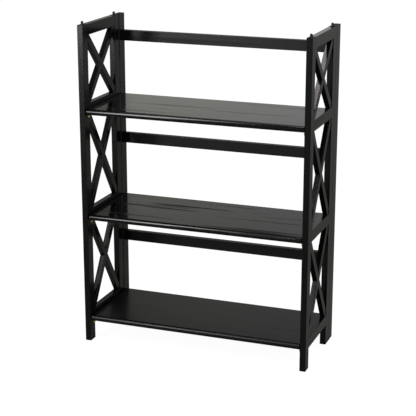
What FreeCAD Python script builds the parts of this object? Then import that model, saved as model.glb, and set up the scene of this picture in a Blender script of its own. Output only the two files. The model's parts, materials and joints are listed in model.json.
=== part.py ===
"""Folding bookcase: a back frame, two hinged side frames with X braces, and three shelves that lift.

Millimetres. The origin is on the floor, in the middle of the frame: +X is to the right of someone
facing the front, +Y runs to the back and +Z is up. The left side frame is modelled, and the right one
is its mirror image.
"""
import FreeCAD, Part
import Sketcher
import math
import os
from types import SimpleNamespace

SIZES = {
    # Overall size, without the stacking pins
    "width": 698.5,
    "depth": 292.1,
    "height": 965.2,
    # Stock of the side frames and the posts
    "frame_thickness": 18.0,
    "stile_width": 32.0,
    "rail_height": 32.0,
    "edge_round": 1.0,
    # Heights
    "lower_rail_middle": 78.0,
    "upper_rail_below_top": 246.8,
    "shelf_above_rail": 2.8,
    "back_rail_above_shelf": 176.8,
    # X braces
    "brace_width": 20.0,
    "brace_thickness": 15.0,
    "halving_gap": 0.1,
    # Back rails
    "back_rail_height": 32.0,
    "back_rail_thickness": 18.0,
    # Shelves
    "shelf_thickness": 18.0,
    "shelf_end_gap": 3.0,
    "shelf_setback": 3.0,
    "shelf_nose_round": 8.0,
    # Room around a shelf that is lifted into the back frame
    "stow_gap": 0.8,
    "back_rail_gap": 1.5,
    # Shelf pivots
    "pivot_radius": 3.0,
    "pivot_seat": 11.0,
    "pivot_reach": 16.0,
    "bush_wall": 1.5,
    "bush_length": 18.0,
    "bush_flange_radius": 6.5,
    # Brass shelf pegs
    "peg_from_front": 19.0,
    "peg_radius": 5.25,
    "peg_reach": 5.5,
    "peg_seat": 10.0,
    "peg_edge_round": 1.0,
    # Stacking pins and their sockets
    "stack_pin_radius": 4.0,
    "stack_pin_reach": 10.5,
    "stack_pin_tenon_radius": 3.0,
    "stack_pin_seat": 15.0,
    "socket_clearance": 0.3,
    "socket_spare": 3.0,
    # Dowels
    "dowel_radius": 3.0,
    "dowel_spacing": 14.0,
    "side_dowel_seat": 11.0,
    "back_dowel_seat": 11.0,
    # Hinges between each rear stile and its post
    "fold_gap": 0.6,
    "hinge_from_end": 160.0,
    "hinge_length": 50.0,
    "leaf_thickness": 1.5,
    "leaf_reach": 11.0,
    "leaf_gap": 0.2,
    "barrel_radius": 2.9,
    "barrel_sink": 0.1,
    "hinge_pin_radius": 1.25,
    # Countersunk hinge screws
    "screw_head_radius": 2.5,
    "screw_shank_radius": 1.2,
    "screw_length": 12.0,
    # Clearances and the overrun of every cut
    "running_gap": 0.3,
    "running_fit": 0.05,
    "seat_fit": 0.05,
    "hole_spare": 1.0,
    "overrun": 2.0,
}
KNUCKLES = 3
SCREW_PLACE_SHARE = 0.27
SCREW_TIP_SHARE = 0.25
SAME_WAY = 1e-6

X = FreeCAD.Vector(1, 0, 0)
Y = FreeCAD.Vector(0, 1, 0)
Z = FreeCAD.Vector(0, 0, 1)


class Size:
    """A length, with the formula that ties it to the sheet."""

    def __init__(self, formula, value):
        self.formula = formula
        self.value = value

    def __add__(self, other):
        return Size(f"({self.formula} + {other.formula})", self.value + other.value)

    def __sub__(self, other):
        return Size(f"({self.formula} - {other.formula})", self.value - other.value)

    def __neg__(self):
        return Size(f"(-{self.formula})", -self.value)

    def __mul__(self, count):
        return Size(f"({self.formula} * {count})", self.value * count)

    def __truediv__(self, count):
        return Size(f"({self.formula} / {count})", self.value / count)

    def times_ratio(self, upper, lower):
        formula = f"({self.formula} * {upper.formula} / {lower.formula})"
        return Size(formula, self.value * upper.value / lower.value)

    def diagonal(self, other):
        formula = f"sqrt({self.formula} ^ 2 + {other.formula} ^ 2)"
        return Size(formula, math.hypot(self.value, other.value))


ZERO = Size("0", 0.0)

# Document and its sheet of driving sizes
doc = FreeCAD.newDocument("folding_bookcase")
sheet = doc.addObject("Spreadsheet::Sheet", "Sizes")
for row, (alias, number) in enumerate(SIZES.items(), start=1):
    sheet.set(f"A{row}", alias.replace("_", " "))
    sheet.set(f"B{row}", str(number))
    sheet.setAlias(f"B{row}", alias)
doc.recompute()
S = SimpleNamespace(**{alias: Size(f"Sizes.{alias}", number) for alias, number in SIZES.items()})

# Sizes that follow from the driving ones
hinge_inset = S.barrel_radius + S.barrel_sink
post_depth = (
    hinge_inset + S.stow_gap + S.shelf_thickness + S.back_rail_gap + S.back_rail_thickness - S.fold_gap / 2
)
outer_x = S.width / 2
inner_x = outer_x - S.frame_thickness
front_y = -(S.depth / 2)
back_y = S.depth / 2
post_front_y = back_y - post_depth
frame_rear_y = post_front_y - S.fold_gap
rear_stile_y = frame_rear_y - S.stile_width
opening_y = front_y + S.stile_width
opening_depth = rear_stile_y - opening_y
fold_bevel = hinge_inset + S.running_gap
hinge_x = -(inner_x + hinge_inset)
hinge_y = post_front_y - S.fold_gap / 2
mortise_depth = S.leaf_thickness + S.leaf_gap / 2 - S.fold_gap / 2
hinge_heights = [S.hinge_from_end, S.height / 2, S.height - S.hinge_from_end]
pivot_y = hinge_y + hinge_inset + S.stow_gap + S.shelf_thickness / 2
shelf_length = (inner_x - S.shelf_end_gap) * 2
bush_radius = S.pivot_radius + S.running_fit + S.bush_wall
back_rail_y = back_y - S.back_rail_thickness
top_rail_bottom = S.height - S.rail_height
upper_rail_middle = S.height - S.upper_rail_below_top
rail_middles = {
    "lower": S.lower_rail_middle,
    "middle": (S.lower_rail_middle + upper_rail_middle) / 2,
    "upper": upper_rail_middle,
}
levels = list(rail_middles)
shelf_tops = {level: rail_middles[level] + S.shelf_above_rail for level in levels}
pivot_heights = {level: shelf_tops[level] - S.shelf_thickness / 2 for level in levels}
back_rail_middles = {level: shelf_tops[level] + S.back_rail_above_shelf for level in levels}
nodes = {}


def bind(item, name, size):
    """Tie one property of an object to the sheet."""
    item.setExpression(name, size.formula)


def place(item, point):
    """Tie an object's place to the sheet, and keep the way it is turned."""
    for axis, size in zip("xyz", point):
        bind(item, f"Placement.Base.{axis}", size)


def turn_to(item, direction):
    """Turn an object whose own length runs along Z so that it runs along a direction."""
    item.Placement = FreeCAD.Placement(FreeCAD.Vector(), FreeCAD.Rotation(Z, direction))


def moved(point, direction, distance):
    """A point taken some way along one of the axes."""
    steps = (direction.x, direction.y, direction.z)
    return tuple(start + distance * int(step) if step else start for start, step in zip(point, steps))


def keep(label, item):
    """Take an object as the node of that name."""
    item.Label = label
    nodes[label] = item
    return item


# Bodies and their features

def new_body(label, corner):
    body = doc.addObject("PartDesign::Body", label)
    place(body, corner)
    return keep(label, body)


def new_sketch(body, role, name):
    """An empty sketch on one of the body's own planes."""
    sketch = body.newObject("Sketcher::SketchObject", f"{body.Name}_{name}")
    plane = next(feature for feature in body.Origin.OriginFeatures if feature.Role == role)
    sketch.AttachmentSupport = [(plane, "")]
    sketch.MapMode = "FlatFace"
    return sketch


def hold(sketch, line, end, across, up):
    """Hold one end of a line at its two distances from the sketch's origin."""
    for kind, size, axis in (("DistanceX", across, -2), ("DistanceY", up, -1)):
        if size is ZERO:
            sketch.addConstraint(Sketcher.Constraint("PointOnObject", line, end, axis))
            continue
        number = sketch.addConstraint(Sketcher.Constraint(kind, -1, 1, line, end, size.value))
        name = f"{kind}_{line}_{end}"
        sketch.renameConstraint(number, name)
        bind(sketch, f"Constraints.{name}", size)


def outline(body, role, corners, name):
    """A closed sketch of straight lines from corner to corner."""
    sketch = new_sketch(body, role, name)
    ends = [FreeCAD.Vector(across.value, up.value, 0) for across, up in corners]
    count = len(corners)
    for line in range(count):
        sketch.addGeometry(Part.LineSegment(ends[line], ends[(line + 1) % count]), False)
    for line in range(count):
        sketch.addConstraint(Sketcher.Constraint("Coincident", line, 2, (line + 1) % count, 1))
    for line, (across, up) in enumerate(corners):
        hold(sketch, line, 1, across, up)
    return sketch


def pad(body, sketch, length):
    feature = body.newObject("PartDesign::Pad", f"{body.Name}_pad")
    feature.Profile = sketch
    bind(feature, "Length", length)
    doc.recompute()
    return feature


def edges_along(feature, direction, wanted=lambda middle: True):
    """The names of a feature's straight edges that run along a direction."""
    names = []
    for number, edge in enumerate(feature.Shape.Edges, start=1):
        if edge.Curve.TypeId != "Part::GeomLine":
            continue
        along = edge.tangentAt(edge.FirstParameter)
        if along.cross(direction).Length < SAME_WAY and wanted(edge.CenterOfMass):
            names.append(f"Edge{number}")
    return names


def dress(body, kind, base, edges, size_name, size):
    """Round or bevel chosen edges of a feature."""
    feature = body.newObject(f"PartDesign::{kind}", f"{body.Name}_{kind.lower()}")
    feature.Base = (base, edges)
    bind(feature, size_name, size)
    doc.recompute()
    return feature


def board(label, corner, length_x, length_y, length_z):
    """A rectangular board, padded up from its footprint."""
    body = new_body(label, corner)
    footprint = [(ZERO, ZERO), (length_x, ZERO), (length_x, length_y), (ZERO, length_y)]
    pad(body, outline(body, "XY_Plane", footprint, "footprint"), length_z)
    return body


def bore(body, radius, depth, mouth, direction):
    """A round blind hole that goes into a body from its mouth."""
    hole = body.newObject("PartDesign::SubtractiveCylinder", f"{body.Name}_bore")
    turn_to(hole, direction)
    place(hole, moved(mouth, direction, -S.overrun))
    bind(hole, "Radius", radius)
    bind(hole, "Height", depth + S.overrun)


# Solids that are turned or cut from sheet

def rod(start, direction, radius, length):
    item = doc.addObject("Part::Cylinder", "rod")
    turn_to(item, direction)
    place(item, start)
    bind(item, "Radius", radius)
    bind(item, "Height", length)
    return item


def taper(start, direction, radius, end_radius, length):
    item = doc.addObject("Part::Cone", "taper")
    turn_to(item, direction)
    place(item, start)
    bind(item, "Radius1", radius)
    bind(item, "Radius2", end_radius)
    bind(item, "Height", length)
    return item


def block(low, high):
    item = doc.addObject("Part::Box", "block")
    place(item, low)
    for name, start, end in zip(("Length", "Width", "Height"), low, high):
        bind(item, name, end - start)
    return item


def fused(parts):
    item = doc.addObject("Part::MultiFuse", "joined")
    item.Shapes = parts
    return item


def cut(base, tools):
    item = doc.addObject("Part::Cut", "bored")
    item.Base = base
    item.Tool = tools[0] if len(tools) == 1 else fused(tools)
    return item


def group(label, solids):
    """Like pieces, kept together in one node as separate solids."""
    item = doc.addObject("Part::Compound", label)
    item.Links = solids
    return keep(label, item)


def mirrored(item, name):
    twin = doc.addObject("Part::Mirroring", name)
    twin.Source = item
    twin.Normal = X
    return twin


# Side frame: stiles and rails

def dowel_heights(middle):
    return [middle - S.dowel_spacing / 2, middle + S.dowel_spacing / 2]


def screw_heights(middle):
    step = S.hinge_length * SCREW_PLACE_SHARE
    return [middle - step, middle + step]


def peg_height(level):
    return shelf_tops[level] - S.shelf_thickness - S.running_gap - S.peg_radius


all_side_rails = {**rail_middles, "top": top_rail_bottom + S.rail_height / 2}
dowel_hole = S.dowel_radius + S.seat_fit
plate_start = S.barrel_radius + S.running_gap
screw_offset = (plate_start + S.leaf_reach) / 2


def round_long_edges(body, base, direction, wanted=lambda middle: True):
    dress(body, "Fillet", base, edges_along(base, direction, wanted), "Radius", S.edge_round)


def stile_sockets(body, rail_face, into):
    """Holes of a stile: dowels from its rail face, a pin in its top and a socket in its foot."""
    middle_x = S.frame_thickness / 2
    middle_y = S.stile_width / 2
    for middle in all_side_rails.values():
        for level in dowel_heights(middle):
            bore(body, dowel_hole, S.side_dowel_seat + S.hole_spare, (middle_x, rail_face, level), into)
    pin_hole = S.stack_pin_tenon_radius + S.seat_fit
    bore(body, pin_hole, S.stack_pin_seat, (middle_x, middle_y, S.height), -Z)
    socket_hole = S.stack_pin_radius + S.socket_clearance
    bore(body, socket_hole, S.stack_pin_reach + S.socket_spare, (middle_x, middle_y, ZERO), Z)


def hinge_seats(body, face, axis_y, into):
    """Mortises, barrel hollows and screw holes for the hinges, in the face that meets the other member."""
    axis_x = S.frame_thickness - hinge_inset
    reach_x = axis_x - S.leaf_reach - S.seat_fit
    hollow = S.barrel_radius + S.running_gap
    half = S.hinge_length / 2
    low_face = face - mortise_depth if into is not Y else face - S.overrun
    for middle in hinge_heights:
        mortise = body.newObject("PartDesign::SubtractiveBox", f"{body.Name}_mortise")
        place(mortise, (reach_x, low_face, middle - half - S.seat_fit))
        bind(mortise, "Length", axis_x - reach_x)
        bind(mortise, "Width", mortise_depth + S.overrun)
        bind(mortise, "Height", (half + S.seat_fit) * 2)
        barrel_bed = body.newObject("PartDesign::SubtractiveCylinder", f"{body.Name}_barrel_bed")
        place(barrel_bed, (axis_x, axis_y, middle - half - S.running_gap))
        bind(barrel_bed, "Radius", hollow)
        bind(barrel_bed, "Height", (half + S.running_gap) * 2)
        for level in screw_heights(middle):
            screw_mouth = (axis_x - screw_offset, face, level)
            bore(body, S.screw_shank_radius + S.seat_fit, S.screw_length + S.hole_spare, screw_mouth, into)


def front_stile():
    size = (S.frame_thickness, S.stile_width, S.height)
    body = board("left_front_stile", (-outer_x, front_y, ZERO), *size)
    round_long_edges(body, body.Tip, Z)
    stile_sockets(body, S.stile_width, -Y)
    for level in levels:
        mouth = (S.frame_thickness, S.peg_from_front, peg_height(level))
        bore(body, S.peg_radius + S.seat_fit, S.peg_seat, mouth, -X)


def bevelled_upright(label, corner, depth, fold_face):
    """An upright whose inner edge at the fold is bevelled, so that the frame can swing past it."""
    body = board(label, corner, S.frame_thickness, depth, S.height)

    def at_fold(middle):
        near_inside = abs(middle.x - S.frame_thickness.value) < S.edge_round.value
        return near_inside and abs(middle.y - fold_face.value) < S.edge_round.value

    fold_edge = edges_along(body.Tip, Z, at_fold)
    bevel = dress(body, "Chamfer", body.Tip, fold_edge, "Size", fold_bevel)
    limit = fold_bevel.value + S.edge_round.value

    def plain(middle):
        far_inside = abs(middle.x - S.frame_thickness.value) > limit
        return far_inside or abs(middle.y - fold_face.value) > limit

    round_long_edges(body, bevel, Z, plain)
    return body


def rear_stile():
    corner = (-outer_x, rear_stile_y, ZERO)
    body = bevelled_upright("left_rear_stile", corner, S.stile_width, S.stile_width)
    stile_sockets(body, ZERO, Y)
    hinge_seats(body, S.stile_width, S.stile_width + S.fold_gap / 2, -Y)


def side_rail(name, middle):
    corner = (-outer_x, opening_y, middle - S.rail_height / 2)
    body = board(f"left_{name}_rail", corner, S.frame_thickness, opening_depth, S.rail_height)
    round_long_edges(body, body.Tip, Y)
    middle_x = S.frame_thickness / 2
    depth = S.side_dowel_seat + S.hole_spare
    for level in dowel_heights(S.rail_height / 2):
        bore(body, dowel_hole, depth, (middle_x, ZERO, level), Y)
        bore(body, dowel_hole, depth, (middle_x, opening_depth, level), -Y)


# Side frame: X braces, halved where they cross

def brace(level, way, bottom, top):
    corner = (-(outer_x - (S.frame_thickness - S.brace_thickness) / 2), opening_y, bottom)
    body = new_body(f"left_{level}_brace_{way}", corner)
    across = opening_depth
    up = top - bottom
    slope = across.diagonal(up)
    tip_y = (S.brace_width / 2).times_ratio(slope, up)
    tip_z = (S.brace_width / 2).times_ratio(slope, across)
    rising = [
        (ZERO, ZERO), (tip_y, ZERO), (across, up - tip_z),
        (across, up), (across - tip_y, up), (ZERO, tip_z),
    ]
    falling = [
        (ZERO, up), (ZERO, up - tip_z), (across - tip_y, ZERO),
        (across, ZERO), (across, tip_z), (tip_y, up),
    ]
    corners = rising if way == "rising" else falling
    bar = pad(body, outline(body, "YZ_Plane", corners, "bar"), S.brace_thickness)
    long_edges = [
        f"Edge{number}" for number, edge in enumerate(bar.Shape.Edges, start=1)
        if edge.Length > slope.value / 2
    ]
    dress(body, "Fillet", bar, long_edges, "Radius", S.edge_round)
    notch_y = tip_y + S.halving_gap
    notch_z = tip_z + S.halving_gap
    centre_y = across / 2
    centre_z = up / 2
    notch = [
        (centre_y - notch_y, centre_z), (centre_y, centre_z - notch_z),
        (centre_y + notch_y, centre_z), (centre_y, centre_z + notch_z),
    ]
    sketch = outline(body, "YZ_Plane", notch, "notch")
    halving = body.newObject("PartDesign::Pocket", f"{body.Name}_halving")
    halving.Profile = sketch
    bind(halving, "Length", S.brace_thickness / 2)
    if way == "rising":
        halving.Reversed = True
    else:
        bind(sketch, "AttachmentOffset.Base.z", S.brace_thickness)


# Side frame: pins, pegs, dowels and hinge leaves

def stile_middles():
    return [front_y + S.stile_width / 2, rear_stile_y + S.stile_width / 2]


middle_of_frame_x = -(outer_x - S.frame_thickness / 2)


def stacking_pins():
    """Round-tipped pins, each with a shoulder on the stile's top and a thinner tenon below it."""
    pins = []
    for middle_y in stile_middles():
        shoulder = (middle_of_frame_x, middle_y, S.height)
        tenon_end = moved(shoulder, Z, -S.stack_pin_seat)
        tenon = rod(tenon_end, Z, S.stack_pin_tenon_radius, S.stack_pin_seat)
        shank_length = S.stack_pin_reach - S.stack_pin_radius
        shank = rod(shoulder, Z, S.stack_pin_radius, shank_length)
        tip = doc.addObject("Part::Sphere", "tip")
        place(tip, moved(shoulder, Z, shank_length))
        bind(tip, "Radius", S.stack_pin_radius)
        pins.append(fused([tenon, shank, tip]))
    group("left_stacking_pins", pins)


def shelf_pegs():
    pegs = []
    for level in levels:
        start = (-(inner_x + S.peg_seat), front_y + S.peg_from_front, peg_height(level))
        shank_length = S.peg_seat + S.peg_reach - S.peg_edge_round
        shank = rod(start, X, S.peg_radius, shank_length)
        end_radius = S.peg_radius - S.peg_edge_round
        end = taper(moved(start, X, shank_length), X, S.peg_radius, end_radius, S.peg_edge_round)
        pegs.append(fused([shank, end]))
    group("left_shelf_pegs", pegs)


def frame_dowels():
    length = S.side_dowel_seat * 2
    dowels = []
    for joint_y in (opening_y, rear_stile_y):
        for middle in all_side_rails.values():
            for level in dowel_heights(middle):
                start = (middle_of_frame_x, joint_y - S.side_dowel_seat, level)
                dowels.append(rod(start, Y, S.dowel_radius, length))
    group("left_frame_dowels", dowels)


def screw_form(mouth, into, spare):
    """A countersunk screw from the middle of its head; spare makes it the hole for one."""
    head = S.screw_head_radius + spare
    shank = S.screw_shank_radius + spare
    head_height = S.screw_head_radius - S.screw_shank_radius
    tip = S.screw_length * SCREW_TIP_SHARE
    straight = S.screw_length - head_height - tip
    neck = moved(mouth, into, head_height)
    return fused([
        taper(mouth, into, head, shank, head_height),
        rod(neck, into, shank, straight),
        taper(moved(neck, into, straight), into, shank, ZERO, tip),
    ])


def hinge_leaf(middle, into, knuckles):
    """One leaf: a plate let into the wood, with the knuckles that it carries and its screw holes."""
    outside = hinge_y + S.leaf_gap / 2 if into is Y else hinge_y - S.leaf_gap / 2
    low_y = outside if into is Y else outside - S.leaf_thickness
    high_y = low_y + S.leaf_thickness
    bottom = middle - S.hinge_length / 2
    plate = block(
        (hinge_x - S.leaf_reach, low_y, bottom),
        (hinge_x - plate_start, high_y, bottom + S.hinge_length),
    )
    parts = [plate]
    step = S.hinge_length / KNUCKLES
    for knuckle in knuckles:
        low = bottom + step * knuckle
        low = low + S.running_gap / 2 if knuckle > 0 else low
        high = bottom + step * (knuckle + 1)
        high = high - S.running_gap / 2 if knuckle < KNUCKLES - 1 else high
        parts.append(block((hinge_x - plate_start, low_y, low), (hinge_x, high_y, high)))
        parts.append(rod((hinge_x, hinge_y, low), Z, S.barrel_radius, high - low))
    pin_bore = S.hinge_pin_radius + S.running_fit
    bore_start = (hinge_x, hinge_y, bottom - S.overrun)
    tools = [rod(bore_start, Z, pin_bore, S.hinge_length + S.overrun * 2)]
    for level in screw_heights(middle):
        mouth = (hinge_x - screw_offset, outside, level)
        tools.append(screw_form(mouth, into, S.seat_fit))
    return cut(fused(parts), tools)


def leaf_screws(into):
    outside = hinge_y + S.leaf_gap / 2 if into is Y else hinge_y - S.leaf_gap / 2
    screws = []
    for middle in hinge_heights:
        for level in screw_heights(middle):
            screws.append(screw_form((hinge_x - screw_offset, outside, level), into, ZERO))
    return screws


def frame_hinge_halves():
    into_stile = -Y
    middle_knuckle = [1]
    leaves = [hinge_leaf(middle, into_stile, middle_knuckle) for middle in hinge_heights]
    group("left_frame_hinge_leaves", leaves)
    group("left_frame_leaf_screws", leaf_screws(into_stile))


# Back frame

def post_hinge_halves():
    end_knuckles = [0, KNUCKLES - 1]
    leaves = [hinge_leaf(middle, Y, end_knuckles) for middle in hinge_heights]
    group("left_post_hinge_leaves", leaves)
    group("left_post_leaf_screws", leaf_screws(Y))
    pins = []
    for middle in hinge_heights:
        foot = (hinge_x, hinge_y, middle - S.hinge_length / 2)
        pins.append(rod(foot, Z, S.hinge_pin_radius, S.hinge_length))
    group("left_hinge_pins", pins)


def rear_post():
    body = bevelled_upright("left_rear_post", (-outer_x, post_front_y, ZERO), post_depth, ZERO)
    hinge_seats(body, ZERO, -(S.fold_gap / 2), Y)
    rail_y = post_depth - S.back_rail_thickness / 2
    for level in levels:
        mouth = (S.frame_thickness, pivot_y - post_front_y, pivot_heights[level])
        bore(body, S.pivot_radius + S.seat_fit, S.pivot_seat, mouth, -X)
        for height in dowel_heights(back_rail_middles[level]):
            mouth = (S.frame_thickness, rail_y, height)
            bore(body, dowel_hole, S.back_dowel_seat + S.hole_spare, mouth, -X)


def back_rail(level):
    length = inner_x * 2
    corner = (-inner_x, back_rail_y, back_rail_middles[level] - S.back_rail_height / 2)
    body = board(f"{level}_back_rail", corner, length, S.back_rail_thickness, S.back_rail_height)
    round_long_edges(body, body.Tip, X)
    middle_y = S.back_rail_thickness / 2
    depth = S.back_dowel_seat + S.hole_spare
    for height in dowel_heights(S.back_rail_height / 2):
        bore(body, dowel_hole, depth, (ZERO, middle_y, height), X)
        bore(body, dowel_hole, depth, (length, middle_y, height), -X)


def back_rail_dowels():
    dowels = []
    for level in levels:
        for height in dowel_heights(back_rail_middles[level]):
            start = (-(inner_x + S.back_dowel_seat), back_rail_y + S.back_rail_thickness / 2, height)
            dowel = rod(start, X, S.dowel_radius, S.back_dowel_seat * 2)
            dowels += [dowel, mirrored(dowel, "dowel")]
    group("back_rail_dowels", dowels)


def shelf_pivot_pins():
    pins = []
    for level in levels:
        start = (-(inner_x + S.pivot_seat), pivot_y, pivot_heights[level])
        pin = rod(start, X, S.pivot_radius, S.pivot_seat + S.shelf_end_gap + S.pivot_reach)
        pins += [pin, mirrored(pin, "pivot_pin")]
    group("shelf_pivot_pins", pins)


# Shelves, each with a rounded nose at the front and a round back edge about its pivot

def shelf(level):
    reach = pivot_y - front_y - S.shelf_setback
    half = S.shelf_thickness / 2
    body = new_body(f"{level}_shelf", (-(shelf_length / 2), pivot_y, pivot_heights[level]))
    sketch = new_sketch(body, "YZ_Plane", "section")
    top_back = FreeCAD.Vector(0, half.value, 0)
    top_front = FreeCAD.Vector(-reach.value, half.value, 0)
    low_front = FreeCAD.Vector(-reach.value, -half.value, 0)
    low_back = FreeCAD.Vector(0, -half.value, 0)
    sketch.addGeometry(Part.LineSegment(top_back, top_front), False)
    sketch.addGeometry(Part.LineSegment(top_front, low_front), False)
    sketch.addGeometry(Part.LineSegment(low_front, low_back), False)
    ring = Part.Circle(FreeCAD.Vector(), Z, half.value)
    back_edge = Part.ArcOfCircle(ring, -math.pi / 2, math.pi / 2)
    sketch.addGeometry(back_edge, False)
    sketch.addConstraint(Sketcher.Constraint("Coincident", 0, 2, 1, 1))
    sketch.addConstraint(Sketcher.Constraint("Coincident", 1, 2, 2, 1))
    sketch.addConstraint(Sketcher.Constraint("Coincident", 2, 2, 3, 1))
    sketch.addConstraint(Sketcher.Constraint("Coincident", 3, 2, 0, 1))
    sketch.addConstraint(Sketcher.Constraint("Coincident", 3, 3, -1, 1))
    sketch.addConstraint(Sketcher.Constraint("PointOnObject", 3, 1, -2))
    hold(sketch, 0, 1, ZERO, half)
    hold(sketch, 1, 1, -reach, half)
    hold(sketch, 1, 2, -reach, -half)
    slab = pad(body, sketch, shelf_length)
    nose = edges_along(slab, X, lambda middle: abs(middle.y + reach.value) < half.value)
    dress(body, "Fillet", slab, nose, "Radius", S.shelf_nose_round)
    bush_hole = bush_radius + S.seat_fit
    bore(body, bush_hole, S.bush_length + S.hole_spare, (ZERO, ZERO, ZERO), X)
    bore(body, bush_hole, S.bush_length + S.hole_spare, (shelf_length, ZERO, ZERO), -X)


def shelf_bushes(level):
    flange = S.shelf_end_gap - S.running_gap
    start = (-(shelf_length / 2) - flange, pivot_y, pivot_heights[level])
    collar = rod(start, X, S.bush_flange_radius, flange)
    barrel = rod(start, X, bush_radius, flange + S.bush_length)
    hole_start = moved(start, X, -S.overrun)
    hole = rod(hole_start, X, S.pivot_radius + S.running_fit, flange + S.bush_length + S.overrun * 2)
    bush = cut(fused([collar, barrel]), [hole])
    group(f"{level}_shelf_bushes", [bush, mirrored(bush, "bush")])


# The whole bookcase
front_stile()
rear_stile()
for name, middle in all_side_rails.items():
    side_rail(name, middle)
half_rail = S.rail_height / 2
brace_bays = {
    "lower": (rail_middles["lower"] + half_rail, rail_middles["middle"] - half_rail),
    "middle": (rail_middles["middle"] + half_rail, rail_middles["upper"] - half_rail),
    "upper": (rail_middles["upper"] + half_rail, top_rail_bottom),
}
for level, (bottom, top) in brace_bays.items():
    for way in ("rising", "falling"):
        brace(level, way, bottom, top)
stacking_pins()
shelf_pegs()
frame_dowels()
frame_hinge_halves()
rear_post()
post_hinge_halves()
for label in list(nodes):
    right_label = label.replace("left_", "right_")
    keep(right_label, mirrored(nodes[label], right_label))
for level in levels:
    back_rail(level)
    shelf(level)
    shelf_bushes(level)
back_rail_dowels()
shelf_pivot_pins()
doc.recompute()

# Nothing is written unless every object is whole and every cut took something away
CUTS = ("PartDesign::SubtractiveCylinder", "PartDesign::SubtractiveBox", "PartDesign::Pocket")
for item in doc.Objects:
    if "Invalid" in item.State or "Error" in item.State:
        raise RuntimeError(f"{item.Label} failed: {item.State}")
    if item.TypeId in CUTS and item.Shape.Volume >= item.BaseFeature.Shape.Volume:
        raise RuntimeError(f"{item.Label} cuts nothing")
for label, item in nodes.items():
    if item.Shape.isNull() or not item.Shape.isValid():
        raise RuntimeError(f"{label} has no valid shape")

os.makedirs("parts", exist_ok=True)
for label, item in nodes.items():
    item.Shape.exportStep(f"parts/{label}.step")
print(len(nodes), "nodes,", sum(len(item.Shape.Solids) for item in nodes.values()), "solids")
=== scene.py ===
# %% [markdown]
# # A black folding bookcase
#
# The bookcase is an open frame of black wood: a back frame with three rails, two side frames with
# X braces, and three shelves that lift on pivots at the back. Its joints and sizes are already right
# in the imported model, so this lesson leaves every board where it is. It looks at the bookcase from
# the right place, lights it, and gives each piece the finish that the real one has.

# %% Load the model
import json
from math import atan2, radians

import bmesh
import bpy
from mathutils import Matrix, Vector


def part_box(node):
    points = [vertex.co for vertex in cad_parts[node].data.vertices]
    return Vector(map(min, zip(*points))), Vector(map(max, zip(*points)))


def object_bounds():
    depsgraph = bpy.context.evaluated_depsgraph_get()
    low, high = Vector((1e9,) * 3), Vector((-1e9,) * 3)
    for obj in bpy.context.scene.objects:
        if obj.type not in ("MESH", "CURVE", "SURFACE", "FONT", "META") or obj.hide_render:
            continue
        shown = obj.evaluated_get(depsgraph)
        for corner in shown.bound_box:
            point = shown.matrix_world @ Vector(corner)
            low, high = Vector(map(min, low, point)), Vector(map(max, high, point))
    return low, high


DIGITS_SHOWN = 4


def rounded(values):
    """Plain numbers, short enough to print."""
    return [round(value, DIGITS_SHOWN) for value in values]


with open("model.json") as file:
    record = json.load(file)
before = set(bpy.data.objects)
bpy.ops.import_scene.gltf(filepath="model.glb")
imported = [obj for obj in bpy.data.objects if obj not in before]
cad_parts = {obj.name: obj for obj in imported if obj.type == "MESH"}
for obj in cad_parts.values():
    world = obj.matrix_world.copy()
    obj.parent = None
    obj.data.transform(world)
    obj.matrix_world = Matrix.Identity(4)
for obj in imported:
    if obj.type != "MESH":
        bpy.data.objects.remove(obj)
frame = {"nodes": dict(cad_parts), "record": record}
pieces = frame["nodes"]
cad_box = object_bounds()
print(len(pieces), "pieces, from", rounded(cad_box[0]), "to", rounded(cad_box[1]))

# %% [markdown]
# ## Where the camera stands
#
# The picture is taken from the front right, half a metre above the top of the bookcase, with a long
# lens from nearly four metres away. A long lens keeps the uprights close to parallel, as they are in a
# product photograph. A shifted lens could make them quite parallel, but the shift would stay in every
# other view, so the camera is only placed, turned and tilted.

# %% Camera
QUARTER = radians(90)
CAMERA_PLACE = Vector((1.269, -3.423, 1.494))
CAMERA_TURN = radians(20.40)
CAMERA_TILT = radians(16.44)
LENS_MM = 110.3

scene = bpy.context.scene
scene.view_settings.view_transform = "Standard"
camera = bpy.data.objects.new("camera", bpy.data.cameras.new("camera"))
camera.data.lens = LENS_MM
camera.location = CAMERA_PLACE
camera.rotation_euler = (QUARTER - CAMERA_TILT, 0, CAMERA_TURN)
scene.collection.objects.link(camera)
scene.camera = camera
print("camera", round(CAMERA_PLACE.length, DIGITS_SHOWN), "m from the middle of the floor")

# %% [markdown]
# ## Helpers for node trees
#
# Every finish below is a tree of shader nodes, and so are the world and the floor. In the editor the
# nodes would be placed and linked by hand. In a script a few short functions keep the trees readable:
# one adds a node, one feeds a socket with a link or a plain value, and the rest wrap the nodes that
# are used most.

# %% Node helpers
def add(tree, kind, **settings):
    """A new shader node, with some of its settings."""
    node = tree.nodes.new(kind)
    for name, value in settings.items():
        setattr(node, name, value)
    return node


def feed(tree, socket, value):
    """Link a socket to another one, or set it to a plain value."""
    if isinstance(value, bpy.types.NodeSocket):
        tree.links.new(value, socket)
    else:
        socket.default_value = value


def calculate(tree, operation, first, second=0.0):
    """A Math node, fed by sockets or plain numbers."""
    node = add(tree, "ShaderNodeMath", operation=operation)
    feed(tree, node.inputs[0], first)
    feed(tree, node.inputs[1], second)
    return node.outputs["Value"]


def spread(tree, value, low, high, new_low=0.0, new_high=1.0, ends="SMOOTHSTEP"):
    """A Map Range node from low and high to the new limits, with soft ends unless told otherwise."""
    node = add(tree, "ShaderNodeMapRange", interpolation_type=ends)
    limits = {"From Min": low, "From Max": high, "To Min": new_low, "To Max": new_high}
    for socket, number in limits.items():
        node.inputs[socket].default_value = number
    tree.links.new(value, node.inputs["Value"])
    return node.outputs["Result"]


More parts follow.
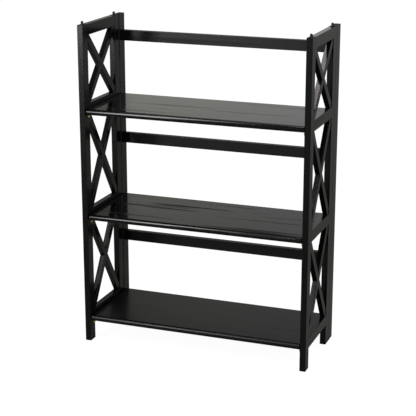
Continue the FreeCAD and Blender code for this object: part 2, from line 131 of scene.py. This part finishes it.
# %% Helpers for colours and rays
def mix_colour(tree, share, first, second):
    """A colour between two, by a share."""
    node = add(tree, "ShaderNodeMix", data_type="RGBA")
    tree.links.new(share, node.inputs["Factor"])
    for name, value in (("A", first), ("B", second)):
        feed(tree, next(s for s in node.inputs if s.name == name and s.type == "RGBA"), value)
    return next(s for s in node.outputs if s.type == "RGBA")


def ray_kinds(tree):
    """One for rays straight from the camera or through glass, and one for mirrored rays."""
    path = add(tree, "ShaderNodeLightPath").outputs
    straight = calculate(tree, "MAXIMUM", path["Is Camera Ray"], path["Is Transmission Ray"])
    return straight, path["Is Glossy Ray"]


# %% [markdown]
# ## The white room
#
# A black thing on white shows its shape mostly by what it mirrors, so the room matters more than the
# lamps. White cards could stand around the bookcase, but they would get in the way of other views, so
# the world itself is the room. To the camera and through glass it is plain white. To mirrored rays it
# is a white wall straight behind, brightest at the horizon, that fades upwards to a dim ceiling. The
# wall ends sharply at the left and softly at the right, and the rest of the room is less than half as
# bright.
#
# The tops of the shelves mirror that wall at a flat angle, the top one lowest, so it is the palest of
# the three. The wall's left edge, given as a compass direction, shows on them as a step in tone. The
# wall is a little warm on the left and a little cool on the right, which gives the black boards the
# faint tints of a real room.

# %% World
ROOM_LIGHT = 0.5
WALL_LEVEL = 1.0
CEILING_LEVEL = 0.13
ROOM_LEVEL = 0.42
WALL_FADE = (0.0, 0.42)
LEFT_FADE = (radians(-24.7), radians(-24.0))
RIGHT_FADE = (-0.1, 0.2)
FRONT_FADE = (-0.5, 0.2)

world = bpy.data.worlds.new("white_room")
world.use_nodes = True
scene.world = world
tree = world.node_tree
background = tree.nodes["Background"]
straight, mirrored = ray_kinds(tree)
direction = add(tree, "ShaderNodeSeparateXYZ")
tree.links.new(add(tree, "ShaderNodeTexCoord").outputs["Generated"], direction.inputs["Vector"])
across, ahead, up = (direction.outputs[axis] for axis in "XYZ")

wall = spread(tree, up, *WALL_FADE, WALL_LEVEL, CEILING_LEVEL, "LINEAR")
left = spread(tree, calculate(tree, "ARCTAN2", across, ahead), *LEFT_FADE, ROOM_LEVEL, 1)
right = spread(tree, across, *RIGHT_FADE, 1, ROOM_LEVEL)
front = spread(tree, ahead, *FRONT_FADE, ROOM_LEVEL, 1)
sides = calculate(tree, "MINIMUM", calculate(tree, "MINIMUM", left, right), front)
mirrored_wall = calculate(tree, "MULTIPLY", mirrored, calculate(tree, "MULTIPLY", wall, sides))
unseen = calculate(tree, "SUBTRACT", 1, calculate(tree, "MAXIMUM", straight, mirrored))
shed = calculate(tree, "MULTIPLY", unseen, ROOM_LIGHT)
shown = calculate(tree, "MAXIMUM", straight, mirrored_wall)
tree.links.new(calculate(tree, "ADD", shed, shown), background.inputs["Strength"])
print("the room sheds", ROOM_LIGHT, "and its ceiling mirrors as", CEILING_LEVEL)

# %% Tints of the room
WHITE = (1, 1, 1, 1)
WARM_WALL = (1.0, 0.99, 0.90, 1)
COOL_WALL = (0.98, 0.98, 1.0, 1)
TINT_FADE = (-0.44, -0.2)

wall_tint = mix_colour(tree, spread(tree, across, *TINT_FADE), WARM_WALL, COOL_WALL)
tree.links.new(mix_colour(tree, mirrored, WHITE, wall_tint), background.inputs["Color"])
print(world.name, "has", len(tree.nodes), "nodes")

# %% [markdown]
# ## The floor
#
# A floor that is painted white would throw its light up at the boards and show in all of them. This
# one is a dark warm paint that takes the shadow, with a glow on top that makes up the rest of the
# white for the camera. Mirrored rays get only a little of that glow near the bookcase, slightly more
# right at its feet, and more and more with distance. So the upright faces, which look down at the
# floor, stay nearly black as they do on the real bookcase.

# %% Floor
FLOOR_SIZE = 60

floor_mesh = bpy.data.meshes.new("floor")
bm = bmesh.new()
bmesh.ops.create_grid(bm, x_segments=1, y_segments=1, size=FLOOR_SIZE / 2)
bm.to_mesh(floor_mesh)
bm.free()
floor = bpy.data.objects.new("floor", floor_mesh)
scene.collection.objects.link(floor)
print("floor", FLOOR_SIZE, "m square")

# %% Floor paint
FLOOR_COLOUR = (0.105, 0.10, 0.088, 1)
FLOOR_ROUGHNESS = 0.9
FLOOR_GLOW = 0.96
FLOOR_MIRROR_GLOW = 0.06
FLOOR_FAR_GLOW = 0.7
FLOOR_FOOT_GLOW = 0.045
FLOOR_FOOT_FADE = (0.4, 1.3)


def new_finish(name):
    """A material with its node tree and its shader."""
    material = bpy.data.materials.new(name)
    material.use_nodes = True
    return material, material.node_tree, material.node_tree.nodes["Principled BSDF"]


floor_paint, tree, paint = new_finish("floor_paint")
paint.inputs["Base Color"].default_value = FLOOR_COLOUR
paint.inputs["Roughness"].default_value = FLOOR_ROUGHNESS
paint.inputs["Specular IOR Level"].default_value = 0
straight, mirrored = ray_kinds(tree)
from_middle = add(tree, "ShaderNodeVectorMath", operation="LENGTH")
tree.links.new(add(tree, "ShaderNodeTexCoord").outputs["Object"], from_middle.inputs[0])
distance = from_middle.outputs["Value"]
paler = spread(tree, distance, 0, FLOOR_SIZE / 2, FLOOR_MIRROR_GLOW, FLOOR_FAR_GLOW, "LINEAR")
at_feet = spread(tree, distance, *FLOOR_FOOT_FADE, FLOOR_FOOT_GLOW, 0)
for_mirrors = calculate(tree, "MULTIPLY", mirrored, calculate(tree, "ADD", paler, at_feet))
for_camera = calculate(tree, "MULTIPLY", straight, FLOOR_GLOW)
glow = add(tree, "ShaderNodeEmission")
tree.links.new(calculate(tree, "ADD", for_camera, for_mirrors), glow.inputs["Strength"])
both = add(tree, "ShaderNodeAddShader")
tree.links.new(paint.outputs["BSDF"], both.inputs[0])
tree.links.new(glow.outputs["Emission"], both.inputs[1])
tree.links.new(both.outputs["Shader"], tree.nodes["Material Output"].inputs["Surface"])
floor_mesh.materials.append(floor_paint)
print(floor_paint.name, "has", len(tree.nodes), "nodes")

# %% [markdown]
# ## Lamps
#
# Four soft lamps light the bookcase: a large and a small one overhead, one at the right for the sides,
# and a tall strip at the front left. The strip is there for its reflection, which runs down the upper
# part of the left stile, along the top back rail and along the round noses of the shelves. The small
# one gives the upper brace at the right its highlight. Point lamps would make hard shadows and
# pinpoint highlights, so all four are rectangles. Each is aimed at the middle of the bookcase by a
# small helper, because a lamp that points past it only lights the floor.

# %% Soft lamps
middle = (cad_box[0] + cad_box[1]) / 2


def soft_lamp(name, place, width, height, watts, tint=(1, 1, 1)):
    """A rectangular lamp that faces the middle of the bookcase."""
    data = bpy.data.lights.new(name, "AREA")
    data.color = tint
    data.shape = "RECTANGLE"
    data.size = width
    data.size_y = height
    data.energy = watts
    lamp = bpy.data.objects.new(name, data)
    lamp.location = place
    lamp.rotation_euler = (middle - lamp.location).to_track_quat("-Z", "Y").to_euler()
    scene.collection.objects.link(lamp)
    return lamp


lamps = [
    soft_lamp("overhead_lamp", place=(-0.4, 0.3, 3.4), width=2.4, height=2.4, watts=14),
    soft_lamp(
        "small_top_lamp", place=(-0.35, -0.67, 3.4), width=0.16, height=0.6, watts=4.2,
        tint=(1, 0.9, 0.97),
    ),
    soft_lamp("right_lamp", place=(3.0, -1.2, 1.9), width=1.6, height=1.6, watts=20),
    soft_lamp("front_strip_lamp", place=(-1.38, -2.86, 1.84), width=0.5, height=3.1, watts=58),
]
print([lamp.name for lamp in lamps])

# %% [markdown]
# ## Grain, as a node group
#
# The boards are stained black and lacquered, and the grain still shows through: long streaks where the
# lacquer has sunk, soft bands, fine fibres and short open pores, all drawn out along the board. A
# Wave texture would give straight, even lines. A noise pattern that is squeezed across the board and
# stretched along it is as uneven as wood, and gives all four at different scales. It is used by every
# wooden piece, so it is one node group with named outputs.

# %% Helpers for groups
def new_group(name, inputs, outputs):
    """An empty shader node group, with the names and kinds of its sockets."""
    group = bpy.data.node_groups.new(name, "ShaderNodeTree")
    for way, sockets in (("INPUT", inputs), ("OUTPUT", outputs)):
        for socket, kind in sockets.items():
            group.interface.new_socket(socket, in_out=way, socket_type=f"NodeSocket{kind}")
    return group, group.nodes.new("NodeGroupInput"), group.nodes.new("NodeGroupOutput")


def use_group(tree, group, **sources):
    """A group node whose inputs are fed by sockets or set to plain values."""
    node = add(tree, "ShaderNodeGroup", node_tree=group)
    for name, value in sources.items():
        feed(tree, node.inputs[name], value)
    return node


def noise_mask(tree, place, scale, detail, limits):
    """Noise on coordinates that are stretched by three factors, made a mask between two limits."""
    stretch = add(tree, "ShaderNodeVectorMath", operation="MULTIPLY")
    stretch.inputs[1].default_value = scale
    tree.links.new(place, stretch.inputs[0])
    noise = add(tree, "ShaderNodeTexNoise")
    noise.inputs["Scale"].default_value = 1
    noise.inputs["Detail"].default_value = detail
    tree.links.new(stretch.outputs["Vector"], noise.inputs["Vector"])
    return spread(tree, noise.outputs["Fac"], *limits)


# %% Wood grain group
GRAIN_MARKS = {
    "Streak": {"scale": (2.6, 60, 60), "detail": 2.5, "limits": (0.5, 0.66)},
    "Band": {"scale": (0.9, 24, 24), "detail": 2, "limits": (0.36, 0.64)},
    "Fibre": {"scale": (5, 800, 800), "detail": 2, "limits": (0.3, 0.7)},
    "Pores": {"scale": (30, 1500, 1500), "detail": 1, "limits": (0.62, 0.72)},
}
FIBRE_HEIGHT = 0.5

grain, entry, exit_ = new_group(
    "wood_grain", {"Vector": "Vector"}, {name: "Float" for name in (*GRAIN_MARKS, "Height")},
)
along = entry.outputs["Vector"]
marks = {name: noise_mask(grain, along, **look) for name, look in GRAIN_MARKS.items()}
fibre_height = calculate(grain, "MULTIPLY", marks["Fibre"], FIBRE_HEIGHT)
marks["Height"] = calculate(grain, "SUBTRACT", fibre_height, marks["Pores"])
for name, mark in marks.items():
    grain.links.new(mark, exit_.inputs[name])
print(grain.name, "has", len(grain.nodes), "nodes")

# %% [markdown]
# ## Ends and edges
#
# Across the end of a board the fibres are cut, so the stain sinks in and the lacquer dries matt: the
# tops of the stiles look darker and duller than their faces. The end is found from the surface's own
# direction, turned the same way as the grain. Sharp edges are painted lighter: partly wear, because
# they hold less lacquer and are rubbed first, and partly a painted highlight where the edges catch the
# light.
# They could be painted by hand as an attribute, but a Bevel node finds them on any shape, because its
# normal leans over only close to an edge.

# %% End grain group
END_LIMITS = (0.75, 0.95)

ends, entry, exit_ = new_group("end_grain", {"Normal": "Vector"}, {"End": "Float"})
split = add(ends, "ShaderNodeSeparateXYZ")
ends.links.new(entry.outputs["Normal"], split.inputs["Vector"])
along_grain = calculate(ends, "ABSOLUTE", split.outputs["X"])
ends.links.new(spread(ends, along_grain, *END_LIMITS), exit_.inputs["End"])
print(ends.name, "has", len(ends.nodes), "nodes")

# %% Edge wear and painted highlight group
EDGE_SAMPLES = 4
EDGE_LIMITS = (0.86, 0.995)
EDGE_WEAR_AND_HIGHLIGHT_PATCHES = {"scale": (60, 60, 60), "detail": 3, "limits": (0.35, 0.65)}

wear_and_highlight_group, entry, exit_ = new_group(
    "edge_wear_and_painted_highlight", {"Vector": "Vector", "Reach": "Float"}, {"WearAndHighlight": "Float"},
)
# This mask marks where sharp edges are painted lighter: worn lacquer, and partly a painted highlight.
lean = add(wear_and_highlight_group, "ShaderNodeBevel", samples=EDGE_SAMPLES)
wear_and_highlight_group.links.new(entry.outputs["Reach"], lean.inputs["Radius"])
surface = add(wear_and_highlight_group, "ShaderNodeNewGeometry")
facing = add(wear_and_highlight_group, "ShaderNodeVectorMath", operation="DOT_PRODUCT")
wear_and_highlight_group.links.new(lean.outputs["Normal"], facing.inputs[0])
wear_and_highlight_group.links.new(surface.outputs["Normal"], facing.inputs[1])
near_edge = spread(wear_and_highlight_group, facing.outputs["Value"], *EDGE_LIMITS, 1, 0)
patchy = noise_mask(wear_and_highlight_group, entry.outputs["Vector"], **EDGE_WEAR_AND_HIGHLIGHT_PATCHES)
wear_and_highlight_group.links.new(calculate(wear_and_highlight_group, "MULTIPLY", near_edge, patchy), exit_.inputs["WearAndHighlight"])
print(wear_and_highlight_group.name, "has", len(wear_and_highlight_group.nodes), "nodes")

# %% [markdown]
# ## The black lacquered wood
#
# The stain is nearly black, so almost all that shows of the grain is in the lacquer: it is duller
# along the streaks, and the streaks come in patches, stronger where a soft band crosses them. So the
# pattern goes to the roughness more than to the colour. One function makes the finish for any
# direction of grain. A Mapping node turns the coordinates, so that the pattern's first axis lies along
# the board, and its Location picks the stretch of the endless pattern that suits the shelves best.
#
# The middle shelf has the strongest streaks and the lower one, which is also the least glossy of the
# three, hardly any. So each shelf has its own finish, and each other kind of board has one too.

# %% Helpers for finishes
GRAIN_START = (9.6, 1.7, 0.2)


def turned(tree, output, kind, turn):
    """A Mapping node that turns coordinates so that the first axis runs along the grain."""
    mapping = add(tree, "ShaderNodeMapping", vector_type=kind)
    mapping.inputs["Rotation"].default_value = turn
    tree.links.new(add(tree, "ShaderNodeTexCoord").outputs[output], mapping.inputs["Vector"])
    return mapping


def pattern_place(tree, turn):
    """Turned Object coordinates, moved to the chosen stretch of the pattern."""
    mapping = turned(tree, "Object", "POINT", turn)
    mapping.inputs["Location"].default_value = GRAIN_START
    return mapping.outputs["Vector"]


def raise_surface(tree, shader, height, depth, strength):
    """Bump from a height."""
    bump = add(tree, "ShaderNodeBump")
    bump.inputs["Strength"].default_value = strength
    bump.inputs["Distance"].default_value = depth
    tree.links.new(height, bump.inputs["Height"])
    tree.links.new(bump.outputs["Normal"], shader.inputs["Normal"])


# %% Black wood
STAIN = (0.0018, 0.0018, 0.0019, 1)
STAIN_LIGHT = (0.0036, 0.0034, 0.0034, 1)
PORE_STAIN = (0.001, 0.001, 0.001, 1)
END_STAIN = (0.0017, 0.0016, 0.0016, 1)
# Lighter colour at sharp edges: worn lacquer, and partly a painted highlight along the edge.
EDGE_WEAR_AND_HIGHLIGHT_COLOUR = (0.020, 0.018, 0.017, 1)
EDGE_WEAR_AND_HIGHLIGHT_REACH = 0.0012
LACQUER_INDEX = 1.4
FIBRE_ROUGHNESS = 0.05
END_ROUGHNESS = 0.35
STREAKS_BETWEEN_BANDS = 0.25
STREAKS_IN_BANDS = 1.4
GRAIN_DEPTH = 0.0001
GRAIN_BUMP = 0.06


def black_wood(name, turn, streaks, roughness):
    """Stained and lacquered wood: the turn of its grain, its streaks and its least roughness."""
    material, tree, shader = new_finish(name)
    place = pattern_place(tree, turn)
    wood = use_group(tree, grain, Vector=place).outputs
    normal = turned(tree, "Normal", "VECTOR", turn).outputs["Vector"]
    cut_end = use_group(tree, ends, Normal=normal).outputs["End"]
    worn_and_highlit_edge = use_group(tree, wear_and_highlight_group, Vector=place, Reach=EDGE_WEAR_AND_HIGHLIGHT_REACH).outputs["WearAndHighlight"]
    colour = mix_colour(tree, wood["Band"], STAIN, STAIN_LIGHT)
    colour = mix_colour(tree, wood["Pores"], colour, PORE_STAIN)
    colour = mix_colour(tree, cut_end, colour, END_STAIN)
    # Sharp edges are painted lighter, for worn lacquer and partly as a painted highlight.
    colour = mix_colour(tree, worn_and_highlit_edge, colour, EDGE_WEAR_AND_HIGHLIGHT_COLOUR)
    tree.links.new(colour, shader.inputs["Base Color"])
    lacquer = spread(tree, wood["Fibre"], 0, 1, roughness, roughness + FIBRE_ROUGHNESS)
    least, most = STREAKS_BETWEEN_BANDS * streaks, STREAKS_IN_BANDS * streaks
    sunk = calculate(tree, "MULTIPLY", wood["Streak"], spread(tree, wood["Band"], 0, 1, least, most))
    matt = calculate(tree, "MULTIPLY", cut_end, END_ROUGHNESS)
    dull = calculate(tree, "ADD", sunk, matt)
    tree.links.new(calculate(tree, "ADD", lacquer, dull), shader.inputs["Roughness"])
    shader.inputs["IOR"].default_value = LACQUER_INDEX
    raise_surface(tree, shader, wood["Height"], GRAIN_DEPTH, GRAIN_BUMP)
    return material


# %% A finish for each kind of board
ALONG_X = (0, 0, 0)
ALONG_Y = (0, 0, -QUARTER)
ALONG_Z = (0, QUARTER, 0)
BOARDS = {
    "upper_shelf": {"turn": ALONG_X, "streaks": 0.14, "roughness": 0.08},
    "middle_shelf": {"turn": ALONG_X, "streaks": 0.36, "roughness": 0.08},
    "lower_shelf": {"turn": ALONG_X, "streaks": 0.05, "roughness": 0.28},
    "back_rail": {"turn": ALONG_X, "streaks": 0.1, "roughness": 0.34},
    "rail": {"turn": ALONG_Y, "streaks": 0.1, "roughness": 0.15},
    "upright": {"turn": ALONG_Z, "streaks": 0.03, "roughness": 0.18},
}
finishes = {kind: black_wood(f"black_wood_{kind}", **look) for kind, look in BOARDS.items()}
print(sorted(finishes))

# %% [markdown]
# ## Which board runs which way
#
# Shelves and back rails run from side to side, the rails of the side frames from front to back, and
# stiles and posts upwards. A brace runs from corner to corner of its bay. Its slope could be typed in,
# but it is read from the brace's own box, so that it stays right when a size changes. Like boards
# share a finish, and braces that slope alike do too.

# %% Wooden pieces
BRACE_LOOK = {"streaks": 0.1, "roughness": 0.15}
STEPS_PER_RADIAN = 1000


def brace_finish(name):
    """The finish of a brace, made once for each slope."""
    low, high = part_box(name)
    size = high - low
    slope = atan2(size.z, size.y)
    way = "rising" if name.endswith("rising") else "falling"
    kind = f"brace_{way}_{round(slope * STEPS_PER_RADIAN)}"
    if kind not in finishes:
        turn = (-slope if way == "rising" else slope, 0, -QUARTER)
        finishes[kind] = black_wood(f"black_wood_{kind}", turn, **BRACE_LOOK)
    return finishes[kind]


def wood_finish(name):
    """The finish of a wooden piece, by its name."""
    if "_brace_" in name:
        return brace_finish(name)
    if name.endswith(("_stile", "_post")):
        return finishes["upright"]
    if name.endswith("_back_rail"):
        return finishes["back_rail"]
    if name.endswith("_rail"):
        return finishes["rail"]
    return finishes[name]


def set_finish(piece, material):
    """Put a material into every slot of a piece."""
    for slot in piece.material_slots:
        slot.material = material


slots = {part["node"]: part["material_slot"] for part in frame["record"]["subparts"]}
wooden = [name for name, slot in slots.items() if slot == "black_wood"]
for name in wooden:
    set_finish(pieces[name], wood_finish(name))
print(len(wooden), "wooden pieces in", len(finishes), "finishes")

# %% [markdown]
# ## Metal, nylon and bare dowels
#
# The hinges and stacking pins are blackened steel, the shelf pivots drawn steel, the pegs brass, and
# the bushes black nylon. Each could be a single colour, because they are small, but close up that
# looks like a toy. A cloudy pattern, again one group, shifts the colour a little and the roughness
# more, as handling and tooling do. The dowels are bare beech and use the grain group.

# %% Small parts
SURFACE_MARKS = {
    "Cloud": {"scale": (160, 160, 160), "detail": 3, "limits": (0.32, 0.68)},
    "Fine": {"scale": (1900, 1900, 260), "detail": 2, "limits": (0.3, 0.7)},
}
SURFACE_BUMP = 0.25

mottle, entry, exit_ = new_group(
    "mottle", {"Vector": "Vector"}, {name: "Float" for name in SURFACE_MARKS},
)
for name, look in SURFACE_MARKS.items():
    mottle.links.new(noise_mask(mottle, entry.outputs["Vector"], **look), exit_.inputs[name])


def small_part_finish(name, dark, light, roughness, metallic, depth):
    """Metal or plastic: cloudy colour, roughness between two values and a fine surface."""
    material, tree, shader = new_finish(name)
    marks = use_group(tree, mottle, Vector=pattern_place(tree, ALONG_X)).outputs
    tree.links.new(mix_colour(tree, marks["Cloud"], dark, light), shader.inputs["Base Color"])
    tree.links.new(spread(tree, marks["Fine"], 0, 1, *roughness), shader.inputs["Roughness"])
    shader.inputs["Metallic"].default_value = metallic
    raise_surface(tree, shader, marks["Fine"], depth, SURFACE_BUMP)
    return material


small_finishes = {
    "black_steel": small_part_finish(
        "blackened_steel", dark=(0.012, 0.012, 0.013, 1), light=(0.022, 0.022, 0.024, 1),
        roughness=(0.28, 0.42), metallic=0.0, depth=0.00004,
    ),
    "bright_steel": small_part_finish(
        "drawn_steel", dark=(0.44, 0.44, 0.45, 1), light=(0.58, 0.58, 0.59, 1),
        roughness=(0.24, 0.38), metallic=1.0, depth=0.00003,
    ),
    "brass": small_part_finish(
        "turned_brass", dark=(0.74, 0.58, 0.27, 1), light=(0.86, 0.68, 0.33, 1),
        roughness=(0.28, 0.42), metallic=1.0, depth=0.00003,
    ),
    "nylon": small_part_finish(
        "black_nylon", dark=(0.022, 0.022, 0.022, 1), light=(0.034, 0.034, 0.034, 1),
        roughness=(0.45, 0.6), metallic=0.0, depth=0.00003,
    ),
}
print([material.name for material in small_finishes.values()])

# %% Bare beech, and the small parts dressed
BEECH = (0.62, 0.45, 0.28, 1)
BEECH_LIGHT = (0.76, 0.60, 0.42, 1)
BEECH_PORES = (0.42, 0.28, 0.16, 1)
BEECH_ROUGHNESS = (0.55, 0.75)
BEECH_DEPTH = 0.0002
BEECH_BUMP = 0.3


def bare_beech():
    """Wood without stain or lacquer."""
    material, tree, shader = new_finish("bare_beech")
    wood = use_group(tree, grain, Vector=pattern_place(tree, ALONG_Y)).outputs
    colour = mix_colour(tree, wood["Band"], BEECH, BEECH_LIGHT)
    colour = mix_colour(tree, wood["Pores"], colour, BEECH_PORES)
    tree.links.new(colour, shader.inputs["Base Color"])
    tree.links.new(spread(tree, wood["Fibre"], 0, 1, *BEECH_ROUGHNESS), shader.inputs["Roughness"])
    raise_surface(tree, shader, wood["Height"], BEECH_DEPTH, BEECH_BUMP)
    return material


small_finishes["dowel_wood"] = bare_beech()
for name, slot in slots.items():
    if slot in small_finishes:
        set_finish(pieces[name], small_finishes[slot])
print({slot: sum(s == slot for s in slots.values()) for slot in small_finishes})
